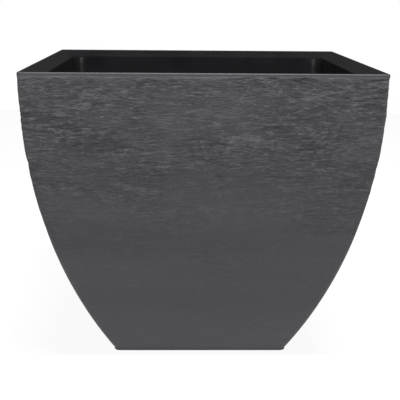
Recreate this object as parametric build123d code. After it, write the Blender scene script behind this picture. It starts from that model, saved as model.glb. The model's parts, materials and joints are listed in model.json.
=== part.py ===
from build123d import *
import os
from math import sqrt

# Square planter with bowed walls, a drop-in liner, and a water reservoir under a raised soil platform.
# Frame: +Z up, origin on the ground under the centre of the planter, front towards -Y.
# All sizes are in millimetres. Each sub-part is written to parts/NODE.step.

# ---------------------------------------------------------------- overall form
RIM_WIDTH = 500.0  # across the crest, both ways
BASE_WIDTH = 256.0  # across the walls where they would meet the ground
HEIGHT = 440.0  # ground to crest

# ---------------------------------------------------------------- outer shell
SHELL_WALL = 5.0
SHELL_FLOOR = 6.0
SHELL_CORNER = 6.0  # outside radius of the upright corners
SHELL_INSIDE_CORNER = 8.0
CREST_WIDTH = 2.4  # strip of shell left outside the liner's lip
CREST_RADIUS = 2.0
CREST_BAND = 3.0  # upright band under the crest, where the walls' arcs end
BASE_EDGE_RADIUS = 5.0
RIB_THICKNESS = 6.0
RIB_HEIGHT = 11.5
RIB_SPACING = 66.0  # between the centres of two parallel ribs
RIB_NOTCH_WIDTH = 12.0
RIB_NOTCH_HEIGHT = 4.0
DRAIN_RADIUS = 10.0
ANCHOR_RADIUS = 5.5
ANCHOR_SPACING = 120.0

# ---------------------------------------------------------------- foot pads
PAD_RADIUS = 13.0
PAD_THICKNESS = 4.0
PAD_PROUD = 1.5  # how far a pad stands below the shell
PAD_EDGE_DISTANCE = 33.0  # from the base's edge to a pad's centre
PAD_CHAMFER = 0.5
PAD_CLEARANCE = 0.1

# ---------------------------------------------------------------- inner liner
LINER_SETBACK = 26.0  # from the shell's outer face to the liner's inner face
LINER_WALL = 3.0
LINER_FLOOR = 3.5
LINER_CORNER = 28.0  # inside radius of the upright corners
LINER_FLOOR_RADIUS = 6.0
LIP_THICKNESS = 3.0
LIP_DROP = 9.5  # fall of the lip's top face from its outer to its inner edge
LIP_LAND = 2.0  # upright face under the lip's inner edge
LIP_BELOW_CREST = 0.4
LIP_CLEARANCE = 0.3
OVERFLOW_RADIUS = 4.0
OVERFLOW_SPACING = 60.0
OVERFLOW_BELOW_PLATFORM = 16.0
OVERFLOW_CUT = 30.0  # length of the drill that goes through the wall

# ---------------------------------------------------------------- standpipe and drain plug
STANDPIPE_RADIUS = 18.0
STANDPIPE_WALL = 3.0
STANDPIPE_HEIGHT = 40.0  # above the liner's floor
STANDPIPE_TOP = 4.0  # thickness of its threaded top
STANDPIPE_FLANGE = 6.0  # how far the flange reaches past the pipe
STANDPIPE_FLANGE_THICKNESS = 3.0
STANDPIPE_SPIGOT_WALL = 2.0
STANDPIPE_CLEARANCE = 0.05
PLUG_THREAD_RADIUS = 10.75
PLUG_THREAD_LENGTH = 12.0
PLUG_HOLLOW_RADIUS = 5.5
PLUG_CLEARANCE = 0.25
PLUG_HEAD_RADIUS = 15.5
PLUG_HEAD = 3.0
PLUG_GRIP_LENGTH = 25.0
PLUG_GRIP_WIDTH = 5.0
PLUG_GRIP_HEIGHT = 7.0
PLUG_GRIP_ROUND = 2.0
SEAL_THICKNESS = 1.5
SEAL_RADIUS = 14.5

# ---------------------------------------------------------------- soil platform and legs
PLATFORM_HEIGHT = 75.0  # liner floor to the underside of the platform
PLATFORM_THICKNESS = 4.0
PLATFORM_SKIRT = 8.0
PLATFORM_SKIRT_WALL = 3.0
PLATFORM_GAP = 1.5  # between the platform's edge and the liner
PERFORATION_RADIUS = 3.0
PERFORATION_PITCH = 17.0
PERFORATION_MARGIN = 4.0  # plate left between a perforation and its neighbours
SOCKET_WALL = 3.5
SOCKET_HEIGHT = 20.0  # above the platform
SOCKET_LEDGE = 1.5
LEG_RADIUS = 10.0
LEG_WALL = 2.0
LEG_WALL_DISTANCE = 8.0  # from the liner's wall to a leg's side, at the floor
SPIGOT_LENGTH = 14.0
SPIGOT_CLEARANCE = 0.15

# ---------------------------------------------------------------- wicking baskets
BASKET_RADIUS = 22.5
BASKET_FOOT_RADIUS = 17.5
BASKET_WALL = 1.8
BASKET_FLANGE = 5.0
BASKET_FLANGE_THICKNESS = 2.0
BASKET_FLOOR_CLEARANCE = 5.0
BASKET_CLEARANCE = 0.5
BASKET_SOCKET_DISTANCE = 4.0  # between a basket's flange and a tube's socket
BASKET_SLOTS = 8
BASKET_SLOT_WIDTH = 3.5
BASKET_SLOT_MARGIN = 11.0  # plain wall above and below the slots
BASKET_HOLE_RADIUS = 1.75
BASKET_HOLE_CIRCLE = 8.75  # radius of the ring of holes in the foot

# ---------------------------------------------------------------- fill tube, collar and cap
TUBE_RADIUS = 16.0
TUBE_WALL = 2.0
FITTING_DROP = 45.0  # from the crest down to the tops of the tube and the gauge
FIT_CLEARANCE = 0.2
COLLAR_WALL = 3.8
COLLAR_HEIGHT = 17.0
COLLAR_SHOULDER = 3.0
CAP_THICKNESS = 3.0
CAP_SKIRT_RADIUS = 13.2
CAP_SKIRT_WALL = 2.0
CAP_SKIRT_DEPTH = 5.0
CAP_TAB = 8.0
CAP_TAB_WIDTH = 12.0
HINGE_RADIUS = 3.0
HINGE_PIN_RADIUS = 1.25
HINGE_PIN_CLEARANCE = 0.05
HINGE_LUG_WIDTH = 4.0
HINGE_LUG_DEPTH = 8.5  # from the pin down to the lug's foot
HINGE_KNUCKLE_WIDTH = 9.0
HINGE_SIDE_GAP = 0.5
HINGE_SETBACK = 3.5  # from the collar's side to the pin

# ---------------------------------------------------------------- level gauge
GAUGE_RADIUS = 9.0
GAUGE_WALL = 1.5
WINDOW_WALL = 1.5
WINDOW_OVERLAP = 10.0
WINDOW_TOP = 2.0
WINDOW_CLEARANCE = 0.1
MARK_PROUD = 0.5
MARK_HEIGHT = 1.5
FLOAT_RADIUS = 14.5
FLOAT_HEIGHT = 20.0
FLOAT_EDGE_RADIUS = 2.5
FLOAT_FLOOR_CLEARANCE = 4.5
FLOAT_WALL_CLEARANCE = 4.0
FLOAT_TRAVEL = 42.0
ROD_RADIUS = 2.0
ROD_DEPTH_IN_FLOAT = 12.0
ROD_CLEARANCE = 0.1
FLAG_CLEARANCE = 0.8  # between the flag and the window; the flag is wider than the guide tube's bore
FLAG_HEIGHT = 10.0
FLAG_HEADROOM = 3.0

# ---------------------------------------------------------------- worked-out places
# Each wall is an arc that leans out from the base and ends upright, under a narrow upright band.
WALL_LEAN = (RIM_WIDTH - BASE_WIDTH) / 2
ARC_TOP = HEIGHT - CREST_BAND
WALL_RADIUS = (ARC_TOP**2 + WALL_LEAN**2) / (2 * WALL_LEAN)

SHELL_UNDERSIDE = PAD_PROUD
SHELL_FLOOR_TOP = SHELL_UNDERSIDE + SHELL_FLOOR
RIB_TOP = SHELL_FLOOR_TOP + RIB_HEIGHT

LINER_OUTSIDE = LINER_SETBACK - LINER_WALL
LINER_FLOOR_TOP = RIB_TOP + LINER_FLOOR
LIP_HALF_WIDTH = RIM_WIDTH / 2 - CREST_WIDTH - LIP_CLEARANCE
LIP_TOP = HEIGHT - LIP_BELOW_CREST
LIP_SEAT = LIP_TOP - LIP_THICKNESS
LIP_INNER_HALF_WIDTH = RIM_WIDTH / 2 - LINER_SETBACK
LIP_INNER_TOP = LIP_TOP - LIP_DROP
LINER_WALL_TOP = LIP_INNER_TOP - LIP_LAND

STANDPIPE_SEAT = LINER_FLOOR_TOP + STANDPIPE_HEIGHT
STANDPIPE_SPIGOT = STANDPIPE_RADIUS - STANDPIPE_WALL + STANDPIPE_SPIGOT_WALL
PLUG_HEAD_UNDERSIDE = STANDPIPE_SEAT + SEAL_THICKNESS

PLATFORM_UNDERSIDE = LINER_FLOOR_TOP + PLATFORM_HEIGHT
PLATFORM_TOP = PLATFORM_UNDERSIDE + PLATFORM_THICKNESS
PLATFORM_EDGE = PLATFORM_UNDERSIDE - PLATFORM_SKIRT

FITTING_TOP = HEIGHT - FITTING_DROP
FLOAT_LOW = LINER_FLOOR_TOP + FLOAT_FLOOR_CLEARANCE
FLAG_TOP = FITTING_TOP - WINDOW_TOP - FLAG_HEADROOM - FLOAT_TRAVEL
GAUGE_TOP = FLAG_TOP - FLAG_HEIGHT  # the flag rests on the guide tube when the reservoir is empty
FLAG_RADIUS = GAUGE_RADIUS + WINDOW_CLEARANCE - FLAG_CLEARANCE

COLLAR_RADIUS = TUBE_RADIUS + FIT_CLEARANCE + COLLAR_WALL
COLLAR_TOP = FITTING_TOP - CAP_THICKNESS
TUBE_TOP = COLLAR_TOP - COLLAR_SHOULDER
TUBE_SOCKET_RADIUS = TUBE_RADIUS + FIT_CLEARANCE + SOCKET_WALL
GAUGE_SOCKET_RADIUS = GAUGE_RADIUS + FIT_CLEARANCE + SOCKET_WALL


def half_width(height, inset=0.0):
    """Half the distance between two facing walls, on the surface that lies `inset` inside the outer face."""
    below_arc_top = max(ARC_TOP - height, 0)
    return RIM_WIDTH / 2 - WALL_RADIUS + sqrt((WALL_RADIUS - inset) ** 2 - below_arc_top**2)


LEG_OFFSET = half_width(LINER_FLOOR_TOP, LINER_SETBACK) - LEG_WALL_DISTANCE - LEG_RADIUS
# The float sits as far into the liner's round corner as its clearance allows, and the fill tube mirrors it.
FITTING_OFFSET = (
    half_width(FLOAT_LOW, LINER_SETBACK)
    - LINER_CORNER
    + (LINER_CORNER - FLOAT_RADIUS - FLOAT_WALL_CLEARANCE) / sqrt(2)
)
BASKET_OFFSET = (
    FITTING_OFFSET
    - (BASKET_RADIUS + BASKET_FLANGE + TUBE_SOCKET_RADIUS + BASKET_SOCKET_DISTANCE) / sqrt(2)
)
PAD_OFFSET = BASE_WIDTH / 2 - PAD_EDGE_DISTANCE

CORNERS = [(-1, -1), (1, -1), (1, 1), (-1, 1)]  # front left, front right, back right, back left
SIDES = [(0, -1), (1, 0), (0, 1), (-1, 0)]  # front, right, back, left
TUBE_PLACE = (-FITTING_OFFSET, FITTING_OFFSET)
GAUGE_PLACE = (FITTING_OFFSET, FITTING_OFFSET)
LEG_PLACES = [(x * LEG_OFFSET, y * LEG_OFFSET) for x, y in SIDES]
BASKET_PLACES = [(x * BASKET_OFFSET, y * BASKET_OFFSET) for x, y in CORNERS]
PAD_PLACES = [(x * PAD_OFFSET, y * PAD_OFFSET) for x, y in CORNERS]
ANCHOR_PLACES = [(x * ANCHOR_SPACING / 2, y * ANCHOR_SPACING / 2) for x, y in CORNERS]
HINGE_PLACE = (TUBE_PLACE[1] + COLLAR_RADIUS + HINGE_SETBACK, COLLAR_TOP + CAP_THICKNESS / 2)  # y, z


# ---------------------------------------------------------------- shapes that several parts share
def square_block(outline):
    """Solid with the same upright outline seen from the front and from the side, so its corners mitre."""
    slab = extrude(make_face(Plane.XZ * outline), amount=RIM_WIDTH, both=True)
    return slab & slab.rotate(Axis.Z, 90)


def bowed_block(inset, low, high, corner=0.0):
    """Solid inside the four bowed walls, `inset` within the outer face, between two heights."""
    right = [(half_width(z, inset), z) for z in (0, ARC_TOP / 2, ARC_TOP)]
    left = [(-x, z) for x, z in reversed(right)]
    top = right[-1][0]
    outline = (
        ThreePointArc(*right)
        + Polyline(right[-1], (top, HEIGHT), (-top, HEIGHT), left[0])
        + ThreePointArc(*left)
        + Line(left[-1], right[0])
    )
    block = square_block(outline)
    if corner:
        corner_edges = block.edges().filter_by(lambda edge: edge.bounding_box().size.Z > CREST_BAND / 2)
        block = fillet(corner_edges, corner)
    return block & block_between((-RIM_WIDTH, -RIM_WIDTH, low), (RIM_WIDTH, RIM_WIDTH, high))


def flat_sided_block(right):
    """Solid whose four sides follow the points from the bottom up, given for the right side."""
    left = [(-x, z) for x, z in reversed(right)]
    return square_block(Polyline(*right, *left, close=True))


def post(radius, low, high, place=(0, 0)):
    """Upright cylinder between two heights."""
    cylinder = Cylinder(radius, high - low, align=(Align.CENTER, Align.CENTER, Align.MIN))
    return Pos(place[0], place[1], low) * cylinder


def tube(outer, inner, low, high, place=(0, 0)):
    """Upright tube between two heights."""
    return post(outer, low, high, place) - post(inner, low, high, place)


def block_between(low_corner, high_corner):
    """Box between two opposite corners."""
    size = [b - a for a, b in zip(low_corner, high_corner)]
    return Pos(*low_corner) * Box(*size, align=(Align.MIN,) * 3)


def cross_pin(radius, length, place, height):
    """Cylinder along X, centred on the fill tube."""
    return Pos(TUBE_PLACE[0], place, height) * Rot(0, 90, 0) * Cylinder(radius, length)


# ---------------------------------------------------------------- outer shell and foot pads
def floor_ribs():
    """Two pairs of crossing ribs that carry the liner clear of the wet floor, notched to drain inwards."""
    ribs = Part()
    reach = RIM_WIDTH / 2
    for side in (-1, 1):
        middle = side * RIB_SPACING / 2
        low, high = middle - RIB_THICKNESS / 2, middle + RIB_THICKNESS / 2
        ribs += block_between((-reach, low, SHELL_FLOOR_TOP), (reach, high, RIB_TOP))
        ribs += block_between((low, -reach, SHELL_FLOOR_TOP), (high, reach, RIB_TOP))
    half_notch, notch_top = RIB_NOTCH_WIDTH / 2, SHELL_FLOOR_TOP + RIB_NOTCH_HEIGHT
    ribs -= block_between((-reach, -half_notch, SHELL_FLOOR_TOP), (reach, half_notch, notch_top))
    ribs -= block_between((-half_notch, -reach, SHELL_FLOOR_TOP), (half_notch, reach, notch_top))
    return ribs & bowed_block(SHELL_WALL / 2, SHELL_FLOOR_TOP, RIB_TOP)


def outer_shell():
    """Textured outer moulding: bowed walls, floor with drain and anchor holes, and a rebated crest."""
    shell = bowed_block(0, SHELL_UNDERSIDE, HEIGHT, SHELL_CORNER)
    shell = fillet(shell.faces().sort_by(Axis.Z)[0].edges(), BASE_EDGE_RADIUS)
    shell = fillet(shell.faces().sort_by(Axis.Z)[-1].edges(), CREST_RADIUS)
    shell -= bowed_block(SHELL_WALL, SHELL_FLOOR_TOP, HEIGHT, SHELL_INSIDE_CORNER)
    shell += floor_ribs()

    rebate_half = RIM_WIDTH / 2 - CREST_WIDTH
    rebate = block_between((-rebate_half, -rebate_half, LIP_SEAT), (rebate_half, rebate_half, HEIGHT))
    shell -= fillet(rebate.edges().filter_by(Axis.Z), SHELL_CORNER - CREST_WIDTH)

    shell -= post(DRAIN_RADIUS, SHELL_UNDERSIDE, SHELL_FLOOR_TOP)
    for place in ANCHOR_PLACES:
        shell -= post(ANCHOR_RADIUS, SHELL_UNDERSIDE, SHELL_FLOOR_TOP, place)
    for place in PAD_PLACES:
        shell -= post(PAD_RADIUS + PAD_CLEARANCE, SHELL_UNDERSIDE, PAD_THICKNESS, place)
    return shell


def foot_pad(place):
    """Rubber disc pressed into a pocket under the shell's floor."""
    pad = post(PAD_RADIUS, 0, PAD_THICKNESS, place)
    return chamfer(pad.edges().sort_by(Axis.Z)[0], PAD_CHAMFER)


# ---------------------------------------------------------------- liner, seal and drain plug
def lip_block():
    """The lip's outer form: a flat seat on the shell's rebate and an underside that follows its slope."""
    slope = LIP_DROP / (LIP_HALF_WIDTH - LIP_INNER_HALF_WIDTH)
    hook = RIM_WIDTH / 2 - SHELL_WALL - LIP_CLEARANCE
    neck = RIM_WIDTH / 2 - LINER_OUTSIDE
    depth = LIP_THICKNESS * sqrt(1 + slope**2)

    def underside(half):
        return LIP_TOP - slope * (LIP_HALF_WIDTH - half) - depth

    lip = flat_sided_block(
        [
            (neck, LINER_WALL_TOP - LINER_WALL),
            (neck, underside(neck)),
            (hook, underside(hook)),
            (hook, LIP_SEAT),
            (LIP_HALF_WIDTH, LIP_SEAT),
            (LIP_HALF_WIDTH, LIP_TOP),
        ]
    )
    hook_edges = lip.edges().filter_by(Axis.Z).group_by(lambda e: abs(e.center().X))[1]
    lip = fillet(hook_edges, SHELL_INSIDE_CORNER)
    rim_edges = lip.edges().filter_by(Axis.Z).group_by(lambda e: abs(e.center().X))[-1]
    return fillet(rim_edges, SHELL_CORNER - CREST_WIDTH - LIP_CLEARANCE)


def inner_liner():
    """Water-tight liner that hangs by its sloping lip on the shell's crest and stands on the ribs."""
    wall = bowed_block(LINER_OUTSIDE, RIB_TOP, LINER_WALL_TOP, LINER_CORNER + LINER_WALL)
    wall = fillet(wall.faces().sort_by(Axis.Z)[0].edges(), LINER_FLOOR_RADIUS + LINER_FLOOR)
    cavity = bowed_block(LINER_SETBACK, LINER_FLOOR_TOP, LINER_WALL_TOP, LINER_CORNER)
    cavity = fillet(cavity.faces().sort_by(Axis.Z)[0].edges(), LINER_FLOOR_RADIUS)
    mouth = flat_sided_block(
        [
            (LIP_INNER_HALF_WIDTH, LINER_WALL_TOP),
            (LIP_INNER_HALF_WIDTH, LIP_INNER_TOP),
            (LIP_HALF_WIDTH, LIP_TOP),
        ]
    )
    liner = wall + lip_block() - cavity - mouth

    liner -= post(STANDPIPE_SPIGOT + STANDPIPE_CLEARANCE, RIB_TOP, LINER_FLOOR_TOP)
    overflow_height = PLATFORM_UNDERSIDE - OVERFLOW_BELOW_PLATFORM
    wall_middle = half_width(overflow_height, (LINER_OUTSIDE + LINER_SETBACK) / 2)
    for side in (-1, 1):
        hole = Rot(90, 0, 0) * Cylinder(OVERFLOW_RADIUS, OVERFLOW_CUT)
        liner -= Pos(side * OVERFLOW_SPACING / 2, wall_middle, overflow_height) * hole
    return liner


def standpipe():
    """Flanged pipe bonded into the liner's floor, with the drain plug's thread in its top."""
    bore = STANDPIPE_RADIUS - STANDPIPE_WALL
    flange_top = LINER_FLOOR_TOP + STANDPIPE_FLANGE_THICKNESS
    pipe = post(STANDPIPE_SPIGOT, RIB_TOP, LINER_FLOOR_TOP)
    pipe += post(STANDPIPE_RADIUS + STANDPIPE_FLANGE, LINER_FLOOR_TOP, flange_top)
    pipe += post(STANDPIPE_RADIUS, flange_top, STANDPIPE_SEAT)
    pipe -= post(bore, RIB_TOP, STANDPIPE_SEAT - STANDPIPE_TOP)
    return pipe - post(PLUG_THREAD_RADIUS + PLUG_CLEARANCE, STANDPIPE_SEAT - STANDPIPE_TOP, STANDPIPE_SEAT)


def plug_seal():
    """Flat rubber ring between the drain plug's head and the standpipe."""
    return tube(SEAL_RADIUS, PLUG_THREAD_RADIUS + PLUG_CLEARANCE, STANDPIPE_SEAT, PLUG_HEAD_UNDERSIDE)


def drain_plug():
    """Screw plug with a grip bar, hollow from below."""
    head_top = PLUG_HEAD_UNDERSIDE + PLUG_HEAD
    thread_end = PLUG_HEAD_UNDERSIDE - PLUG_THREAD_LENGTH
    plug = post(PLUG_THREAD_RADIUS, thread_end, head_top) + post(
        PLUG_HEAD_RADIUS, PLUG_HEAD_UNDERSIDE, head_top
    )
    plug -= post(PLUG_HOLLOW_RADIUS, thread_end, PLUG_HEAD_UNDERSIDE)
    grip = block_between(
        (-PLUG_GRIP_LENGTH / 2, -PLUG_GRIP_WIDTH / 2, head_top),
        (PLUG_GRIP_LENGTH / 2, PLUG_GRIP_WIDTH / 2, head_top + PLUG_GRIP_HEIGHT),
    )
    return plug + fillet(grip.edges().filter_by(Axis.Z), PLUG_GRIP_ROUND)


# ---------------------------------------------------------------- soil platform, legs and baskets
def platform_obstacles():
    """Centre and radius of everything that a perforation has to keep clear of."""
    found = [(place, BASKET_RADIUS + BASKET_FLANGE) for place in BASKET_PLACES]
    found += [(place, LEG_RADIUS) for place in LEG_PLACES]
    found += [(TUBE_PLACE, TUBE_SOCKET_RADIUS), (GAUGE_PLACE, GAUGE_SOCKET_RADIUS)]
    return found


def perforation_places():
    """Square grid of drain perforations over the free part of the platform."""
    reach = half_width(PLATFORM_EDGE, LINER_SETBACK + PLATFORM_GAP + PLATFORM_SKIRT_WALL)
    limit = reach - PERFORATION_RADIUS - PERFORATION_MARGIN
    count = int(limit // PERFORATION_PITCH)
    steps = [i * PERFORATION_PITCH for i in range(-count, count + 1)]
    corner = limit - LINER_CORNER
    places = []
    for x in steps:
        for y in steps:
            past = (max(abs(x) - corner, 0), max(abs(y) - corner, 0))
            if past[0] ** 2 + past[1] ** 2 > LINER_CORNER**2:
                continue
            clear = all(
                (x - place[0]) ** 2 + (y - place[1]) ** 2
                > (radius + PERFORATION_RADIUS + PERFORATION_MARGIN) ** 2
                for place, radius in platform_obstacles()
            )
            if clear:
                places.append((x, y))
    return places


def soil_platform():
    """Perforated false floor with a skirt, two tube sockets, four basket holes and four leg spigots."""
    inset = LINER_SETBACK + PLATFORM_GAP
    plate = bowed_block(inset, PLATFORM_EDGE, PLATFORM_TOP, LINER_CORNER - PLATFORM_GAP)
    plate -= bowed_block(
        inset + PLATFORM_SKIRT_WALL,
        PLATFORM_EDGE,
        PLATFORM_UNDERSIDE,
        LINER_CORNER - PLATFORM_GAP - PLATFORM_SKIRT_WALL,
    )
    for place in LEG_PLACES:
        spigot = LEG_RADIUS - LEG_WALL - SPIGOT_CLEARANCE
        plate += post(spigot, PLATFORM_UNDERSIDE - SPIGOT_LENGTH, PLATFORM_UNDERSIDE, place)
    for place, radius, wall in (
        (TUBE_PLACE, TUBE_RADIUS, TUBE_WALL),
        (GAUGE_PLACE, GAUGE_RADIUS, GAUGE_WALL),
    ):
        socket = radius + FIT_CLEARANCE
        ledge = PLATFORM_UNDERSIDE + SOCKET_LEDGE
        plate += post(socket + SOCKET_WALL, PLATFORM_TOP, PLATFORM_TOP + SOCKET_HEIGHT, place)
        plate -= post(socket, ledge, PLATFORM_TOP + SOCKET_HEIGHT, place)
        plate -= post(radius - wall, PLATFORM_UNDERSIDE, ledge, place)
    holes = [
        post(BASKET_RADIUS + BASKET_CLEARANCE, PLATFORM_UNDERSIDE, PLATFORM_TOP, place)
        for place in BASKET_PLACES
    ]
    holes += [
        post(PERFORATION_RADIUS, PLATFORM_UNDERSIDE, PLATFORM_TOP, place)
        for place in perforation_places()
    ]
    return plate - holes


def platform_leg(place):
    """Tubular leg pushed onto a spigot under the platform, standing on the liner's floor."""
    return tube(LEG_RADIUS, LEG_RADIUS - LEG_WALL, LINER_FLOOR_TOP, PLATFORM_UNDERSIDE, place)


def wicking_basket(place):
    """Slotted tapered cup that holds soil down in the water, hung by its flange in the platform."""
    foot = LINER_FLOOR_TOP + BASKET_FLOOR_CLEARANCE
    brim = PLATFORM_TOP + BASKET_FLANGE_THICKNESS
    outline = Polyline(
        (0, foot),
        (BASKET_FOOT_RADIUS, foot),
        (BASKET_RADIUS, PLATFORM_UNDERSIDE),
        (BASKET_RADIUS, PLATFORM_TOP),
        (BASKET_RADIUS + BASKET_FLANGE, PLATFORM_TOP),
        (BASKET_RADIUS + BASKET_FLANGE, brim),
        (BASKET_RADIUS - BASKET_WALL, brim),
        (BASKET_RADIUS - BASKET_WALL, PLATFORM_UNDERSIDE),
        (BASKET_FOOT_RADIUS - BASKET_WALL, foot + BASKET_WALL),
        (0, foot + BASKET_WALL),
        close=True,
    )
    cup = revolve(make_face(Plane.XZ * outline), Axis.Z)
    slot_low = foot + BASKET_SLOT_MARGIN
    slot_high = PLATFORM_UNDERSIDE - BASKET_SLOT_MARGIN
    slots = [
        Rot(0, 0, 360 * (i + 0.5) / BASKET_SLOTS)
        * block_between(
            (BASKET_HOLE_CIRCLE, -BASKET_SLOT_WIDTH / 2, slot_low),
            (BASKET_RADIUS + BASKET_WALL, BASKET_SLOT_WIDTH / 2, slot_high),
        )
        for i in range(BASKET_SLOTS)
    ]
    holes = [
        Rot(0, 0, 360 * i / BASKET_SLOTS)
        * post(BASKET_HOLE_RADIUS, foot, foot + BASKET_WALL, (BASKET_HOLE_CIRCLE, 0))
        for i in range(BASKET_SLOTS)
    ]
    return Pos(place[0], place[1], 0) * (cup - slots - holes)


# ---------------------------------------------------------------- fill tube, collar, cap and pin
def fill_tube():
    """Plain pipe from the platform's socket up to the collar."""
    foot = PLATFORM_UNDERSIDE + SOCKET_LEDGE
    return tube(TUBE_RADIUS, TUBE_RADIUS - TUBE_WALL, foot, TUBE_TOP, TUBE_PLACE)


def fill_collar():
    """Ring pushed over the top of the fill tube, with two hinge lugs at the back."""
    low = COLLAR_TOP - COLLAR_HEIGHT
    collar = post(COLLAR_RADIUS, low, COLLAR_TOP, TUBE_PLACE)
    hinge_y, hinge_z = HINGE_PLACE
    inside = HINGE_KNUCKLE_WIDTH / 2 + HINGE_SIDE_GAP
    for side in (-1, 1):
        near, far = sorted((side * inside, side * (inside + HINGE_LUG_WIDTH)))
        stem = block_between(
            (TUBE_PLACE[0] + near, TUBE_PLACE[1] + TUBE_RADIUS, hinge_z - HINGE_LUG_DEPTH),
            (TUBE_PLACE[0] + far, hinge_y + HINGE_RADIUS, COLLAR_TOP),
        )
        eye = Pos((near + far) / 2, 0, 0) * cross_pin(HINGE_RADIUS, HINGE_LUG_WIDTH, hinge_y, hinge_z)
        collar += stem + eye
    collar -= cross_pin(HINGE_PIN_RADIUS + HINGE_PIN_CLEARANCE, 2 * COLLAR_RADIUS, hinge_y, hinge_z)
    collar -= post(TUBE_RADIUS + FIT_CLEARANCE, low, TUBE_TOP, TUBE_PLACE)
    collar -= post(TUBE_RADIUS - TUBE_WALL, TUBE_TOP, COLLAR_TOP, TUBE_PLACE)
    return collar


def fill_cap():
    """Hinged lid with a finger tab, a knuckle and a short skirt that centres it in the collar."""
    x, y = TUBE_PLACE
    hinge_y, hinge_z = HINGE_PLACE
    lid_top = COLLAR_TOP + CAP_THICKNESS
    half_tab, half_knuckle = CAP_TAB_WIDTH / 2, HINGE_KNUCKLE_WIDTH / 2
    cap = post(COLLAR_RADIUS, COLLAR_TOP, lid_top, TUBE_PLACE)
    cap += block_between(
        (x - half_tab, y - COLLAR_RADIUS - CAP_TAB, COLLAR_TOP), (x + half_tab, y, lid_top)
    )
    cap += block_between((x - half_knuckle, y, COLLAR_TOP), (x + half_knuckle, hinge_y, lid_top))
    cap += cross_pin(HINGE_RADIUS, HINGE_KNUCKLE_WIDTH, hinge_y, hinge_z)
    cap -= cross_pin(HINGE_PIN_RADIUS + HINGE_PIN_CLEARANCE, HINGE_KNUCKLE_WIDTH, hinge_y, hinge_z)
    skirt_low = COLLAR_TOP - CAP_SKIRT_DEPTH
    return cap + tube(CAP_SKIRT_RADIUS, CAP_SKIRT_RADIUS - CAP_SKIRT_WALL, skirt_low, COLLAR_TOP, TUBE_PLACE)


def cap_hinge_pin():
    """Steel pin through both lugs and the cap's knuckle."""
    length = HINGE_KNUCKLE_WIDTH + 2 * (HINGE_SIDE_GAP + HINGE_LUG_WIDTH)
    return cross_pin(HINGE_PIN_RADIUS, length, *HINGE_PLACE)


# ---------------------------------------------------------------- level gauge
def gauge_tube():
    """Guide tube for the float's rod, from the platform's socket up into the window."""
    foot = PLATFORM_UNDERSIDE + SOCKET_LEDGE
    return tube(GAUGE_RADIUS, GAUGE_RADIUS - GAUGE_WALL, foot, GAUGE_TOP, GAUGE_PLACE)


def gauge_window():
    """Clear cap over the guide tube, with a domed top and two ring marks for low and full."""
    bore = GAUGE_RADIUS + WINDOW_CLEARANCE
    outer = bore + WINDOW_WALL
    window = post(outer, GAUGE_TOP - WINDOW_OVERLAP, FITTING_TOP, GAUGE_PLACE)
    window = fillet(window.edges().sort_by(Axis.Z)[-1], WINDOW_TOP)
    flag_middle = FLAG_TOP - FLAG_HEIGHT / 2
    for mark in (flag_middle, flag_middle + FLOAT_TRAVEL):
        window += post(outer + MARK_PROUD, mark - MARK_HEIGHT / 2, mark + MARK_HEIGHT / 2, GAUGE_PLACE)
    return window - post(bore, GAUGE_TOP - WINDOW_OVERLAP, FITTING_TOP - WINDOW_TOP, GAUGE_PLACE)


def float_body():
    """Foam float under the platform, with a blind hole for its rod."""
    top = FLOAT_LOW + FLOAT_HEIGHT
    body = post(FLOAT_RADIUS, FLOAT_LOW, top, GAUGE_PLACE)
    body = fillet(body.edges().filter_by(GeomType.CIRCLE), FLOAT_EDGE_RADIUS)
    return body - post(ROD_RADIUS + ROD_CLEARANCE, top - ROD_DEPTH_IN_FLOAT, top, GAUGE_PLACE)


def float_rod():
    """Rod from the float up through the guide tube to the flag that shows in the window."""
    foot = FLOAT_LOW + FLOAT_HEIGHT - ROD_DEPTH_IN_FLOAT
    flag_low = FLAG_TOP - FLAG_HEIGHT
    return post(ROD_RADIUS, foot, flag_low, GAUGE_PLACE) + post(
        FLAG_RADIUS, flag_low, FLAG_TOP, GAUGE_PLACE
    )


# ---------------------------------------------------------------- export
def build():
    """Every sub-part by its node name."""
    parts = {
        "outer_shell": outer_shell(),
        "inner_liner": inner_liner(),
        "standpipe": standpipe(),
        "plug_seal": plug_seal(),
        "drain_plug": drain_plug(),
        "soil_platform": soil_platform(),
        "fill_tube": fill_tube(),
        "fill_collar": fill_collar(),
        "fill_cap": fill_cap(),
        "cap_hinge_pin": cap_hinge_pin(),
        "gauge_tube": gauge_tube(),
        "gauge_window": gauge_window(),
        "float_body": float_body(),
        "float_rod": float_rod(),
    }
    for number, place in enumerate(LEG_PLACES, 1):
        parts[f"platform_leg_{number}"] = platform_leg(place)
    for number, place in enumerate(BASKET_PLACES, 1):
        parts[f"wicking_basket_{number}"] = wicking_basket(place)
    for number, place in enumerate(PAD_PLACES, 1):
        parts[f"foot_pad_{number}"] = foot_pad(place)
    return parts


os.makedirs("parts", exist_ok=True)
for node, solid in build().items():
    export_step(solid, f"parts/{node}.step")
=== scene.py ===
"""Looks of a square slate-effect planter with a black drop-in liner and a water reservoir.

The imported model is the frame. The shell and the liner are rebuilt as finer meshes, the small moulded
pieces get softened edges, and every surface gets a material named for what the real one is.
"""

import json
import logging
import math
from collections.abc import Sequence
from dataclasses import dataclass
from enum import Enum
from typing import Any

import bmesh
import bpy
from mathutils import Matrix, Vector

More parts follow.
